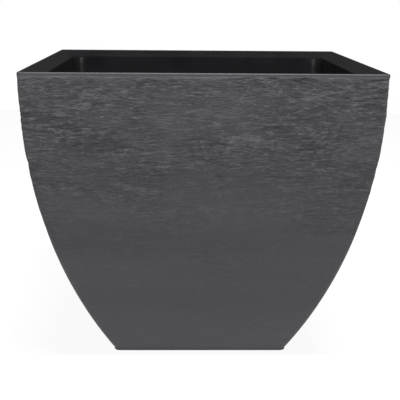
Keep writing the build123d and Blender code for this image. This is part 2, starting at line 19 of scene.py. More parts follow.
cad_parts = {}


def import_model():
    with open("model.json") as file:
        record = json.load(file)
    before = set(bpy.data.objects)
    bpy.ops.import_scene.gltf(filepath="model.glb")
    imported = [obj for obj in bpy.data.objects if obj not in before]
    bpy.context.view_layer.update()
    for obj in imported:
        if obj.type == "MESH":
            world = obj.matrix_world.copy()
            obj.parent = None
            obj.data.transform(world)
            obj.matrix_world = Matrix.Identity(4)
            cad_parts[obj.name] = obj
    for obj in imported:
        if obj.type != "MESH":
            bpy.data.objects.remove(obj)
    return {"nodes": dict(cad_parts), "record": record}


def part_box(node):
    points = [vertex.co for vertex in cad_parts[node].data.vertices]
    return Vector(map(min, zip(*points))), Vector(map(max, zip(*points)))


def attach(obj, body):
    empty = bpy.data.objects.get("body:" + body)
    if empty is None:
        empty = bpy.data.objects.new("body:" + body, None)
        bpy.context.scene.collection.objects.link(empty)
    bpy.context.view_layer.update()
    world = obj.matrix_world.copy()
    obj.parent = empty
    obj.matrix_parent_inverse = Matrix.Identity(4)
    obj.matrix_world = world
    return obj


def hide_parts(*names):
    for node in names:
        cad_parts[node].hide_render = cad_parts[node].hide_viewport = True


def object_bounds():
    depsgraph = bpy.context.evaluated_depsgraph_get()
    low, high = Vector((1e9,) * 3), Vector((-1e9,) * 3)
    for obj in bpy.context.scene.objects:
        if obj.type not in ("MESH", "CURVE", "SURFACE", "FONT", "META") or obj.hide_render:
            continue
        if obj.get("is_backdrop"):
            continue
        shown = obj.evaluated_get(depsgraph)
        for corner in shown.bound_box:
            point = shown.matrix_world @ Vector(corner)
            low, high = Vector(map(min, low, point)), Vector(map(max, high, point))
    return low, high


log = logging.getLogger("planter")

MM = 0.001

MATH = "ShaderNodeMath"
VECTOR = "ShaderNodeVectorMath"
NOISE = "ShaderNodeTexNoise"
RAMP = "ShaderNodeValToRGB"
RANGE = "ShaderNodeMapRange"
BUMP = "ShaderNodeBump"


# ------------------------------------------------------------------ small helpers
def srgb(code: str) -> tuple[float, float, float, float]:
    """Turns an sRGB hex colour into linear values.

    Args:
        code: six hex digits, with or without a leading hash.

    Returns:
        Linear red, green and blue, and an alpha of 1.
    """
    digits = code.lstrip("#")
    channels = [int(digits[i : i + 2], 16) / 255 for i in (0, 2, 4)]
    linear = [c / 12.92 if c <= 0.04045 else ((c + 0.055) / 1.055) ** 2.4 for c in channels]
    return (linear[0], linear[1], linear[2], 1.0)


def add_node(
    tree: bpy.types.NodeTree,
    kind: str,
    inputs: dict[Any, Any] | Sequence[Any] = (),
    stops: Sequence[tuple[float, str]] = (),
    **settings: Any,
) -> bpy.types.Node:
    """Adds one node to a tree, with its settings and links.

    Args:
        tree: the tree that gets the node.
        kind: the node's type name.
        inputs: values, sockets or nodes for its inputs, in order or by name. A node gives its first output.
        stops: place and sRGB hex colour of each stop, from low to high, for a colour ramp.
        **settings: the node's own properties.

    Returns:
        The new node.
    """
    node = tree.nodes.new(kind)
    for name, value in settings.items():
        setattr(node, name, value)
    for key, value in inputs.items() if isinstance(inputs, dict) else enumerate(inputs):
        if isinstance(value, bpy.types.Node):
            value = value.outputs[0]
        if isinstance(value, bpy.types.NodeSocket):
            tree.links.new(value, node.inputs[key])
        else:
            node.inputs[key].default_value = value
    if stops:
        elements = node.color_ramp.elements
        elements[0].position, elements[1].position = stops[0][0], stops[-1][0]
        for place, _ in stops[1:-1]:
            elements.new(place)
        for element, (_, colour) in zip(elements, stops):
            element.color = srgb(colour)
    return node


def new_object(name: str, mesh: bpy.types.Mesh) -> bpy.types.Object:
    """Makes an object at the origin and links it to the scene.

    Args:
        name: the object's name.
        mesh: its mesh, already in place.

    Returns:
        The object.
    """
    thing = bpy.data.objects.new(name, mesh)
    bpy.context.scene.collection.objects.link(thing)
    return thing


def apply_modifiers(thing: bpy.types.Object) -> None:
    """Turns an object's modifiers into plain mesh.

    Args:
        thing: an object with live modifiers, which keeps the evaluated mesh and no modifiers.
    """
    graph = bpy.context.evaluated_depsgraph_get()
    graph.update()
    mesh = bpy.data.meshes.new_from_object(thing.evaluated_get(graph), depsgraph=graph)
    thing.modifiers.clear()
    thing.data = mesh


def smooth(thing: bpy.types.Object, angle: float) -> None:
    """Shades a mesh smooth, apart from edges sharper than the angle.

    Args:
        thing: the mesh object.
        angle: the limit in degrees.
    """
    thing.data.shade_smooth()
    thing.data.set_sharp_from_angle(angle=math.radians(angle))


def report(thing: bpy.types.Object, body: str) -> None:
    """Logs a finished piece's size in triangles and the body that it rides on."""
    triangles = sum(len(p.vertices) - 2 for p in thing.data.polygons)
    log.info("%s: %d triangles, rides on %s", thing.name, triangles, body)


# ------------------------------------------------------------------ finishes
class Spread(Enum):
    """How a pattern is drawn out on its piece."""

    EVEN = (1.0, 1.0, 1.0)
    UPRIGHT = (1.0, 1.0, 0.04)
    LEVEL = (0.12, 0.12, 1.0)


def new_material(name: str) -> tuple[bpy.types.Material, bpy.types.NodeTree, bpy.types.Node]:
    """Starts a node material.

    Args:
        name: the material's name.

    Returns:
        The material, its tree and its Principled shader.
    """
    material = bpy.data.materials.new(name)
    material.use_nodes = True
    tree = material.node_tree
    tree.nodes.clear()
    shader = add_node(tree, "ShaderNodeBsdfPrincipled")
    add_node(tree, "ShaderNodeOutputMaterial", {"Surface": shader})
    return material, tree, shader


def grain(
    tree: bpy.types.NodeTree, size: float, spread: Spread = Spread.EVEN, detail: float = 3.0
) -> bpy.types.Node:
    """Lays a cloudy pattern on the piece's own coordinates.

    Args:
        tree: the material's tree.
        size: size of one grain in metres.
        spread: how the pattern is drawn out.
        detail: how many finer layers the pattern has.

    Returns:
        The noise, from 0 to 1.
    """
    place = add_node(tree, "ShaderNodeTexCoord").outputs["Object"]
    drawn = add_node(tree, VECTOR, [place, spread.value], operation="MULTIPLY")
    return add_node(tree, NOISE, {"Vector": drawn, "Scale": 1 / size, "Detail": detail})


@dataclass(frozen=True)
class Moulding:
    """Moulded or extruded plastic: an even colour with slight flow marks and a fine eroded grain."""

    name: str
    colour: str
    worn: str
    roughness: float = 0.45
    grain_size: float = 0.9 * MM
    grain_depth: float = 0.05 * MM
    spread: Spread = Spread.EVEN
    shine: float = 0.5
    ior: float = 1.49
    flow_size: float = 45 * MM
    grain_share: float = 0.3
    unevenness: float = 0.08

    def build(self) -> bpy.types.Material:
        """Builds the material.

        Returns:
            The material.
        """
        material, tree, shader = new_material(self.name)
        flow = grain(tree, self.flow_size, self.spread, 4.0)
        fine = grain(tree, self.grain_size, self.spread, 2.0)
        mixed = add_node(tree, "ShaderNodeMix", {"Factor": self.grain_share, "A": flow, "B": fine})
        colour = add_node(tree, RAMP, [mixed], [(0.38, self.colour), (0.65, self.worn)])
        dull, bright = self.roughness + self.unevenness, self.roughness - self.unevenness
        rough = add_node(tree, RANGE, {"Value": flow, "To Min": bright, "To Max": dull})
        bump = add_node(tree, BUMP, {"Height": fine, "Distance": self.grain_depth})
        tree.links.new(colour.outputs["Color"], shader.inputs["Base Color"])
        tree.links.new(rough.outputs["Result"], shader.inputs["Roughness"])
        tree.links.new(bump.outputs["Normal"], shader.inputs["Normal"])
        shader.inputs["IOR"].default_value = self.ior
        shader.inputs["Specular IOR Level"].default_value = self.shine
        return material


@dataclass(frozen=True)
class SlateMoulding:
    """Polyethylene from a cleft-slate mould: dull dark stone, with painted highlight on its ledges and
    painted shade in its hollows.

    Its skin grain is under a millimetre, and the specks are drawn coarser here so that they show.
    """

    name: str = "slate_effect_rotomoulded_polyethylene"
    # The first colour is painted shade in the relief's hollows and the last is a painted highlight on its
    # ledges; face is the stone's own colour.
    hollow_painted_shade: str = "17171a"
    face: str = "39393d"
    ledge_painted_highlight: str = "6c6c71"
    roughness: float = 0.58
    line_height: float = 2.5 * MM
    line_length: float = 11 * MM
    line_depth: float = 6.5 * MM
    # How strongly the split lines paint raised parts lighter and sunk parts darker: painted highlight and
    # painted shade.
    line_painted_shade: float = 2.0
    line_softness: float = 0.35
    layer: float = 0.05
    cloud: float = 70 * MM
    cloud_tint: float = 0.25
    speck: float = 1.6 * MM
    speck_tint: float = 0.14
    speck_depth: float = 0.06
    unevenness: float = 0.1
    ior: float = 1.5

    def build(self) -> bpy.types.Material:
        """Builds the material. It reads the two attributes that the shell's mesh carries.

        Returns:
            The material.
        """
        material, tree, shader = new_material(self.name)
        relief = add_node(tree, "ShaderNodeAttribute", attribute_name="relief").outputs["Fac"]
        cleft = add_node(tree, "ShaderNodeAttribute", attribute_name="cleft").outputs["Fac"]
        place = add_node(tree, "ShaderNodeTexCoord").outputs["Object"]
        line = (self.line_length, self.line_length, self.line_height)
        spread = add_node(tree, VECTOR, [place, line], operation="DIVIDE")
        settings = {"Vector": spread, "Scale": 1.0, "Detail": 5.0, "Roughness": 0.62, "Distortion": 1.0}
        lines = add_node(tree, NOISE, settings)
        layers = add_node(tree, MATH, [lines, self.layer], operation="SNAP")
        split = add_node(tree, "ShaderNodeMix", {"Factor": self.line_softness, "A": layers, "B": lines})
        clouds = grain(tree, self.cloud, Spread.LEVEL, 4.0)
        specks = grain(tree, self.speck, Spread.EVEN, 2.0)

        # The split lines and the relief attribute make raised parts lighter and sunk parts darker, a painted
        # highlight and painted shade that follow the bump; the clouds and specks add random tone.
        fine = add_node(tree, MATH, [split, 0.5], operation="SUBTRACT")
        shade = add_node(tree, MATH, [cleft, self.line_painted_shade], operation="MULTIPLY")
        tone_with_painted_shade = add_node(tree, MATH, [fine, shade, relief], operation="MULTIPLY_ADD")
        patch = add_node(tree, MATH, [clouds, 0.5], operation="SUBTRACT")
        tone_with_painted_shade = add_node(tree, MATH, [patch, self.cloud_tint, tone_with_painted_shade], operation="MULTIPLY_ADD")
        dust = add_node(tree, MATH, [specks, 0.5], operation="SUBTRACT")
        tone_with_painted_shade = add_node(tree, MATH, [dust, self.speck_tint, tone_with_painted_shade], operation="MULTIPLY_ADD")
        colour = add_node(tree, RAMP, [tone_with_painted_shade], [(0.1, self.hollow_painted_shade), (0.5, self.face), (0.95, self.ledge_painted_highlight)])
        height = add_node(tree, MATH, [split, cleft], operation="MULTIPLY")
        height = add_node(tree, MATH, [specks, self.speck_depth, height], operation="MULTIPLY_ADD")
        bump = add_node(tree, BUMP, {"Height": height, "Distance": self.line_depth})
        dull, bright = self.roughness + self.unevenness, self.roughness - self.unevenness
        rough = add_node(tree, RANGE, {"Value": specks, "To Min": bright, "To Max": dull})
        tree.links.new(colour.outputs["Color"], shader.inputs["Base Color"])
        tree.links.new(bump.outputs["Normal"], shader.inputs["Normal"])
        tree.links.new(rough.outputs["Result"], shader.inputs["Roughness"])
        shader.inputs["IOR"].default_value = self.ior
        return material


@dataclass(frozen=True)
class Rubber:
    """Compression-moulded EPDM rubber: dull, dusty black with a fine pebble."""

    name: str = "moulded_epdm_rubber"

    def build(self) -> bpy.types.Material:
        """Builds the material.

        Returns:
            The material.
        """
        material, tree, shader = new_material(self.name)
        dust = grain(tree, 6 * MM, Spread.EVEN, 5.0)
        colour = add_node(tree, RAMP, [dust], [(0.4, "141414"), (0.75, "2c2b2a")])
        pebble = grain(tree, 0.5 * MM)
        bump = add_node(tree, BUMP, {"Height": pebble, "Distance": 0.06 * MM})
        tree.links.new(colour.outputs["Color"], shader.inputs["Base Color"])
        tree.links.new(bump.outputs["Normal"], shader.inputs["Normal"])
        shader.inputs["Roughness"].default_value = 0.78
        shader.inputs["IOR"].default_value = 1.52
        return material


@dataclass(frozen=True)
class DrawnSteel:
    """Stainless wire, drawn and cut: bright grey metal with fine scratches."""

    name: str = "drawn_stainless_steel"

    def build(self) -> bpy.types.Material:
        """Builds the material.

        Returns:
            The material.
        """
        material, tree, shader = new_material(self.name)
        scratches = grain(tree, 0.25 * MM)
        colour = add_node(tree, RAMP, [scratches], [(0.3, "b8b8b6"), (0.7, "d4d4d2")])
        bump = add_node(tree, BUMP, {"Height": scratches, "Distance": 0.01 * MM})
        tree.links.new(colour.outputs["Color"], shader.inputs["Base Color"])
        tree.links.new(bump.outputs["Normal"], shader.inputs["Normal"])
        shader.inputs["Metallic"].default_value = 1.0
        shader.inputs["Roughness"].default_value = 0.3
        return material


@dataclass(frozen=True)
class ClearPolycarbonate:
    """Injection-moulded clear polycarbonate: see-through, faintly blue and hazed by handling."""

    name: str = "clear_polycarbonate"

    def build(self) -> bpy.types.Material:
        """Builds the material.

        Returns:
            The material.
        """
        material, tree, shader = new_material(self.name)
        haze = grain(tree, 5 * MM)
        rough = add_node(tree, RANGE, {"Value": haze, "To Min": 0.02, "To Max": 0.14})
        colour = add_node(tree, RAMP, [haze], [(0.3, "eef4f4"), (0.7, "f8fbfb")])
        tree.links.new(rough.outputs["Result"], shader.inputs["Roughness"])
        tree.links.new(colour.outputs["Color"], shader.inputs["Base Color"])
        shader.inputs["Transmission Weight"].default_value = 0.95
        shader.inputs["IOR"].default_value = 1.58
        return material


@dataclass(frozen=True)
class BeadFoam:
    """Moulded expanded polystyrene: off-white, with the outlines of its swollen beads."""

    name: str = "expanded_polystyrene_beads"
    bead: float = 2.5 * MM

    def build(self) -> bpy.types.Material:
        """Builds the material.

        Returns:
            The material.
        """
        material, tree, shader = new_material(self.name)
        place = add_node(tree, "ShaderNodeTexCoord").outputs["Object"]
        beads = add_node(tree, "ShaderNodeTexVoronoi", {"Vector": place, "Scale": 1 / self.bead})
        colour = add_node(tree, RAMP, [beads], [(0.1, "efeee8"), (0.8, "d6d4ca")])
        bump = add_node(tree, BUMP, {"Height": beads, "Distance": 0.25 * MM}, invert=True)
        tree.links.new(colour.outputs["Color"], shader.inputs["Base Color"])
        tree.links.new(bump.outputs["Normal"], shader.inputs["Normal"])
        shader.inputs["Roughness"].default_value = 0.65
        return material


@dataclass(frozen=True)
class LitAcrylic:
    """Opal acrylic shooting table, lit from below: an even, shadowless white."""

    name: str = "backlit_white_acrylic"
    glow: float = 0.93

    def build(self) -> bpy.types.Material:
        """Builds the material.

        Returns:
            The material.
        """
        material, tree, shader = new_material(self.name)
        cloud = grain(tree, 300 * MM)
        colour = add_node(tree, RAMP, [cloud], [(0.2, "585858"), (0.8, "5e5e5e")])
        tree.links.new(colour.outputs["Color"], shader.inputs["Base Color"])
        shader.inputs["Roughness"].default_value = 0.6
        shader.inputs["Specular IOR Level"].default_value = 0.2
        shader.inputs["Emission Color"].default_value = srgb("ffffff")
        shader.inputs["Emission Strength"].default_value = self.glow
        return material


# ------------------------------------------------------------------ the bowed square form
@dataclass
class BowedForm:
    """The four walls' shape: one arc from a narrow base to an upright crest, the same on every side."""

    rim_width: float
    height: float
    base_width: float = 256 * MM
    crest_band: float = 3 * MM

    @property
    def arc_top(self) -> float:
        """Height where the arc ends and the upright band under the crest starts."""
        return self.height - self.crest_band

    @property
    def wall_radius(self) -> float:
        """Radius of the walls' arc."""
        lean = (self.rim_width - self.base_width) / 2
        return (self.arc_top**2 + lean**2) / (2 * lean)

    def half_width(self, height: float, inset: float = 0.0) -> float:
        """Half the distance between facing walls.

        Args:
            height: height above the ground.
            inset: how far within the outer face it is measured.

        Returns:
            The half-width in metres.
        """
        radius = self.wall_radius
        below = max(self.arc_top - height, 0.0)
        return self.rim_width / 2 - radius + math.sqrt((radius - inset) ** 2 - below**2)


@dataclass(frozen=True)
class Ring:
    """One closed outline at one height: a square with round corners, or a circle if corner is half."""

    half: float
    height: float
    corner: float

    def points(self, columns: int, steps: int) -> list[Vector]:
        """Walks the outline anticlockwise from the front wall's left end.

        Args:
            columns: how many spans a wall has.
            steps: how many spans a corner has.

        Returns:
            The outline's points, the same count for every ring.
        """
        round_ring = self.corner >= self.half
        flat = self.half - self.corner
        found = []
        for side in range(4):
            turn = side * math.pi / 2
            for i in range(columns + steps):
                if round_ring:
                    angle = -math.pi / 2 + math.pi / 2 * (i - columns / 2) / (columns + steps)
                    x, y = self.half * math.cos(angle), self.half * math.sin(angle)
                elif i <= columns:
                    x, y = flat * (2 * i / columns - 1), -self.half
                else:
                    angle = -math.pi / 2 + math.pi / 2 * (i - columns) / steps
                    x, y = flat + self.corner * math.cos(angle), -flat + self.corner * math.sin(angle)
                c, s = math.cos(turn), math.sin(turn)
                found.append(Vector((x * c - y * s, x * s + y * c, self.height)))
        return found


def skin_rings(name: str, rings: list[Ring], columns: int, steps: int) -> bpy.types.Mesh:
    """Joins rings into one closed surface, whose last ring meets the first.

    Args:
        name: the mesh's name.
        rings: the outlines, in order along the section.
        columns: how many spans a wall has.
        steps: how many spans a corner has.

    Returns:
        The mesh, with its faces outwards.
    """
    mesh = bpy.data.meshes.new(name)
    around = 4 * (columns + steps)
    points = [p for ring in rings for p in ring.points(columns, steps)]
    faces = []
    for row in range(len(rings)):
        below, above = row * around, (row + 1) % len(rings) * around
        for i in range(around):
            j = (i + 1) % around
            faces.append((below + i, below + j, above + j, above + i))
    mesh.from_pydata(points, [], faces)
    shape = bmesh.new()
    shape.from_mesh(mesh)
    bmesh.ops.recalc_face_normals(shape, faces=shape.faces)
    shape.to_mesh(mesh)
    shape.free()
    return mesh


def arc_points(
    centre: tuple[float, float], radius: float, start: float, end: float, steps: int
) -> list[tuple[float, float]]:
    """Points of a small edge rounding in the section.

    Args:
        centre: half-width and height of the arc's centre.
        radius: the arc's radius.
        start: first angle in degrees, 0 being outwards and 90 up.
        end: last angle in degrees.
        steps: how many spans the arc has.

    Returns:
        Half-width and height of each point.
    """
    angles = [math.radians(start + (end - start) * i / steps) for i in range(steps + 1)]
    return [(centre[0] + radius * math.cos(a), centre[1] + radius * math.sin(a)) for a in angles]


def drill(thing: bpy.types.Object, holes: list[tuple[Vector, Vector, float]]) -> None:
    """Drills round holes in a piece.

    Args:
        thing: the piece.
        holes: the two ends and the radius of each hole.
    """
    shape = bmesh.new()
    for low, high, radius in holes:
        along = high - low
        place = Matrix.Translation((low + high) / 2) @ along.to_track_quat("Z", "Y").to_matrix().to_4x4()
        size = {"radius1": radius, "radius2": radius, "depth": along.length}
        bmesh.ops.create_cone(shape, cap_ends=True, segments=32, matrix=place, **size)
    mesh = bpy.data.meshes.new("drills")
    shape.to_mesh(mesh)
    shape.free()
    drills = new_object("drills", mesh)
    cut = thing.modifiers.new("drill", "BOOLEAN")
    cut.operation = "DIFFERENCE"
    cut.solver = "EXACT"
    cut.object = drills
    apply_modifiers(thing)
    bpy.data.objects.remove(drills)


# ------------------------------------------------------------------ shell
@dataclass
class SlateShell:
    """Outer moulding: cleft-slate relief outside, smooth crest and inside, drained floor with ribs."""

    form: BowedForm
    underside: float
    wall: float = 5 * MM
    floor: float = 6 * MM
    corner: float = 6 * MM
    inside_corner: float = 8 * MM
    base_radius: float = 5 * MM
    crest_width: float = 2.4 * MM
    crest_radius: float = 2 * MM
    rebate_depth: float = 3.4 * MM
    break_edge: float = 0.3 * MM
    smooth_band: float = 7 * MM
    relief_depth: float = 2.4 * MM
    # Strength of the relief low down, and what it gains at mid-height and in the top third.
    low_strength: float = 0.12
    middle_strength: float = 0.33
    top_strength: float = 0.55
    ridge_height: float = 4.0 * MM
    ridge_length: float = 45 * MM
    patch: float = 130 * MM
    # Shares of the three patterns, and each one's size against a ridge's.
    layer: float = 0.075
    layer_share: float = 1.5
    layer_rise: float = 2.6
    ridge_share: float = 0.25
    ridge_reach: float = 0.5
    ridge_sharpness: float = 5.0
    grit_share: float = 0.35
    grit_reach: float = 0.15
    grit_rise: float = 0.7
    patch_rise: float = 0.45
    calm: float = 0.3
    columns: int = 74
    corner_steps: int = 3
    rows: int = 286
    row_crowding: float = 0.32
    inside_rows: int = 14
    plate_half: float = 112 * MM
    pad_radius: float = 13 * MM
    pad_play: float = 0.1 * MM
    pad_pocket: float = 2.5 * MM
    pad_offset: float = 95 * MM
    anchor_radius: float = 5.5 * MM
    anchor_spacing: float = 120 * MM
    drain_radius: float = 10 * MM
    rib_top: float = 19 * MM
    rib_width: float = 6 * MM
    rib_spacing: float = 66 * MM
    notch: float = 12 * MM
    notch_height: float = 4 * MM
    seed: int = 7

    def wall_rings(self) -> list[Ring]:
        """Section of the walls: up the outside, over the crest, down the inside and back under.

        Returns:
            The rings, whose rows lie closer together towards the crest.
        """
        form = self.form
        top = form.height
        low = self.underside + self.base_radius
        high = top - self.crest_radius
        heights = []
        for i in range(self.rows + 1):
            t = i / self.rows
            heights.append(low + (high - low) * ((1 + self.row_crowding) * t - self.row_crowding * t * t))
        rings = [Ring(form.half_width(z), z, self.corner) for z in heights]
        centre = (form.half_width(high) - self.crest_radius, high)
        over = arc_points(centre, self.crest_radius, 15, 90, 5)
        edge = top - self.rebate_depth
        inner = form.rim_width / 2 - self.crest_width
        rebate_corner = self.corner - self.crest_width
        rings += [Ring(h, z, self.corner - (rings[-1].half - h)) for h, z in over]
        rings += [Ring(inner + self.break_edge, top, rebate_corner + self.break_edge)]
        rings += [Ring(inner, z, rebate_corner) for z in (top - self.break_edge, edge)]
        rings += [Ring(form.half_width(edge, self.wall), edge, self.inside_corner)]
        floor_top = self.underside + self.floor
        for i in range(1, self.inside_rows + 1):
            z = edge + (floor_top - edge) * i / self.inside_rows
            rings.append(Ring(form.half_width(z, self.wall), z, self.inside_corner))
        rings += [Ring(self.plate_half, z, self.inside_corner) for z in (floor_top, self.underside)]
        slope = math.asin((top - low) / form.wall_radius)
        foot = (form.half_width(low) - self.base_radius * math.cos(slope), low)
        under = arc_points(foot, self.base_radius, -90, -math.degrees(slope), 4)
        return rings + [Ring(h, max(z, self.underside), self.corner) for h, z in under]

    def cleft(self, height: float) -> float:
        """How strong the relief is: none at the crest and the base, most in the top third.

        Args:
            height: height above the ground.

        Returns:
            The strength, from 0 to 1.
        """
        share = (height - self.underside) / (self.form.height - self.underside)
        strength = self.low_strength + self.middle_strength * smoothstep(0.3, 0.6, share)
        strength += self.top_strength * smoothstep(0.55, 0.78, share)
        band = self.smooth_band
        fade_top = smoothstep(0.0, 0.8 * band, self.form.height - 0.5 * band - height)
        fade_base = smoothstep(0.0, 2 * band, height - self.underside - self.base_radius)
        return strength * fade_top * fade_base

    def relief_tree(self) -> bpy.types.NodeTree:
        """Builds the Geometry Nodes that press the cleft relief into the walls.

        Returns:
            The tree, with named inputs for the relief's sizes, its seed and the finish.
        """
        tree = bpy.data.node_groups.new("cleft relief", "GeometryNodeTree")
        sockets = [("Geometry", "Geometry"), ("Depth", "Float"), ("Ridge Height", "Float")]
        sockets += [("Ridge Length", "Float"), ("Patch", "Float"), ("Seed", "Int"), ("Material", "Material")]
        for name, kind in sockets:
            tree.interface.new_socket(name, in_out="INPUT", socket_type=f"NodeSocket{kind}")
        tree.interface.new_socket("Geometry", in_out="OUTPUT", socket_type="NodeSocketGeometry")
        given = add_node(tree, "NodeGroupInput").outputs
        place = add_node(tree, "GeometryNodeInputPosition")
        across, up, patch = given["Ridge Length"], given["Ridge Height"], given["Patch"]
        seed_step = 10.3

        def clouds(level: Any, upright: Any, layer: int, detail: float, rough: float = 0.5) -> bpy.types.Node:
            """Adds a seeded cloud pattern.

            Args:
                level: length of one cloud.
                upright: height of one cloud.
                layer: which pattern it is, so that each has its own seed.
                detail: how many finer layers it has.
                rough: how strong the finer layers are.

            Returns:
                The noise, from 0 to 1.
            """
            size = add_node(tree, "ShaderNodeCombineXYZ", [level, level, upright])
            spread = add_node(tree, VECTOR, [place, size], operation="DIVIDE")
            seed = add_node(tree, MATH, [given["Seed"], seed_step * layer], operation="ADD")
            inputs = {"Vector": spread, "W": seed, "Scale": 1.0, "Detail": detail}
            inputs |= {"Roughness": rough, "Distortion": 0.6}
            return add_node(tree, NOISE, inputs, noise_dimensions="4D")

        # Split layers: a cloud pattern cut into steps, so that each layer ends in a ledge.
        tall = add_node(tree, MATH, [up, self.layer_rise], operation="MULTIPLY")
        layered = clouds(across, tall, 1, 4.0, 0.6)
        layered = add_node(tree, MATH, [layered, self.layer], operation="SNAP")
        # Thin ridges where a finer pattern passes through its middle.
        reach = add_node(tree, MATH, [across, self.ridge_reach], operation="MULTIPLY")
        fold = add_node(tree, MATH, [clouds(reach, up, 2, 3.0), 0.5], operation="SUBTRACT")
        fold = add_node(tree, MATH, [fold], operation="ABSOLUTE")
        peak = [fold, -self.ridge_sharpness, 1.0]
        ridged = add_node(tree, MATH, peak, operation="MULTIPLY_ADD", use_clamp=True)
        # Grit, a little over twice as long as it is high.
        short = add_node(tree, MATH, [across, self.grit_reach], operation="MULTIPLY")
        low = add_node(tree, MATH, [up, self.grit_rise], operation="MULTIPLY")
        grit = clouds(short, low, 3, 2.0)
        middle = 0.5 - (self.layer_share + self.ridge_share + self.grit_share) / 2
        relief = add_node(tree, MATH, [layered, self.layer_share, middle], operation="MULTIPLY_ADD")
        relief = add_node(tree, MATH, [ridged, self.ridge_share, relief], operation="MULTIPLY_ADD")
        mix = [grit, self.grit_share, relief]
        relief = add_node(tree, MATH, mix, operation="MULTIPLY_ADD", use_clamp=True)

        # Rough patches among calmer ones, within the strength that each height has.
        flat = add_node(tree, MATH, [patch, self.patch_rise], operation="MULTIPLY")
        wild = add_node(tree, RANGE, [clouds(patch, flat, 4, 2.0), 0.36, 0.62, self.calm, 1.0])
        mask = add_node(tree, "GeometryNodeInputNamedAttribute", {"Name": "cleft"}, data_type="FLOAT")
        strength = add_node(tree, MATH, [mask, wild], operation="MULTIPLY")
        sunk = add_node(tree, MATH, [relief, 1.0], operation="SUBTRACT")
        sunk = add_node(tree, MATH, [sunk, strength], operation="MULTIPLY")
        push = add_node(tree, MATH, [sunk, given["Depth"]], operation="MULTIPLY")
        normal = add_node(tree, "GeometryNodeInputNormal")
        offset = add_node(tree, VECTOR, {0: normal, "Scale": push}, operation="SCALE")
        # The stored tone is lighter where the relief stands high and darker where it is sunk: painted
        # highlight and painted shade for the material.
        painted_shade_amount = add_node(tree, MATH, [strength, 0.5], operation="MULTIPLY")
        above = add_node(tree, MATH, [relief, 0.5], operation="SUBTRACT")
        tone_with_painted_shade = add_node(tree, MATH, [above, painted_shade_amount, 0.5], operation="MULTIPLY_ADD")
        result = given["Geometry"]
        store = "GeometryNodeStoreNamedAttribute"
        for name, value in {"relief": tone_with_painted_shade, "cleft": strength}.items():
            inputs = {"Geometry": result, "Name": name, "Value": value}
            result = add_node(tree, store, inputs, data_type="FLOAT", domain="POINT")
        result = add_node(tree, "GeometryNodeSetPosition", {"Geometry": result, "Offset": offset})
        result = add_node(tree, "GeometryNodeRealizeInstances", [result])
        inputs = {"Geometry": result, "Material": given["Material"]}
        result = add_node(tree, "GeometryNodeSetMaterial", inputs)
        add_node(tree, "NodeGroupOutput", [result])
        return tree

    def build_walls(self, material: bpy.types.Material) -> bpy.types.Object:
        """Builds the walls with their relief, as one closed mesh.

        Args:
            material: the slate finish.

        Returns:
            The walls.
        """
        mesh = skin_rings("slate_shell", self.wall_rings(), self.columns, self.corner_steps)
        around = 4 * (self.columns + self.corner_steps)
        mask = mesh.attributes.new("cleft", "FLOAT", "POINT")
        outside = around * (self.rows + 1)
        for i, vertex in enumerate(mesh.vertices):
            mask.data[i].value = self.cleft(vertex.co.z) if i < outside else 0.0
        shell = new_object("slate_shell", mesh)
        tree = self.relief_tree()
        press = shell.modifiers.new("relief", "NODES")
        press.node_group = tree
        values = {
            "Depth": self.relief_depth,
            "Ridge Height": self.ridge_height,
            "Ridge Length": self.ridge_length,
            "Patch": self.patch,
            "Seed": self.seed,
            "Material": material,
        }
        for item in tree.interface.items_tree:
            if item.in_out == "INPUT" and item.name in values:
                press[item.identifier] = values[item.name]
        apply_modifiers(shell)
        smooth(shell, 55)
        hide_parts("outer_shell")
        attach(shell, "shell")
        report(shell, "shell")
        return shell

    def build_floor(self, material: bpy.types.Material) -> bpy.types.Object:
        """Builds the drained floor plate and its crossing ribs.

        Args:
            material: the finish of the moulding's inner side.

        Returns:
            The floor.
        """
        top = self.underside + self.floor
        drain = self.drain_radius
        rings = [Ring(drain, self.underside, drain)]
        rings += [Ring(self.plate_half, z, self.inside_corner) for z in (self.underside, top)]
        rings += [Ring(drain, top, drain)]
        plate = new_object("shell_floor", skin_rings("shell_floor", rings, 12, 4))
        below, past = Vector((0, 0, -MM)), Vector((0, 0, 2 * top))
        pocket_top = Vector((0, 0, self.underside + self.pad_pocket))
        holes = []
        for corner in [Vector((x, y, 0)) for x in (-1, 1) for y in (-1, 1)]:
            anchor = corner * self.anchor_spacing / 2
            holes.append((anchor + below, anchor + past, self.anchor_radius))
            pad = corner * self.pad_offset
            holes.append((pad + below, pad + pocket_top, self.pad_radius + self.pad_play))
        drill(plate, holes)
        shape = bmesh.new()
        shape.from_mesh(plate.data)
        for across in (0, 1):
            for side in (-1, 1):
                self.add_rib(shape, across, side, top)
        shape.to_mesh(plate.data)
        shape.free()
        plate.data.materials.clear()
        plate.data.materials.append(material)
        smooth(plate, 30)
        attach(plate, "shell")
        report(plate, "shell")
        return plate

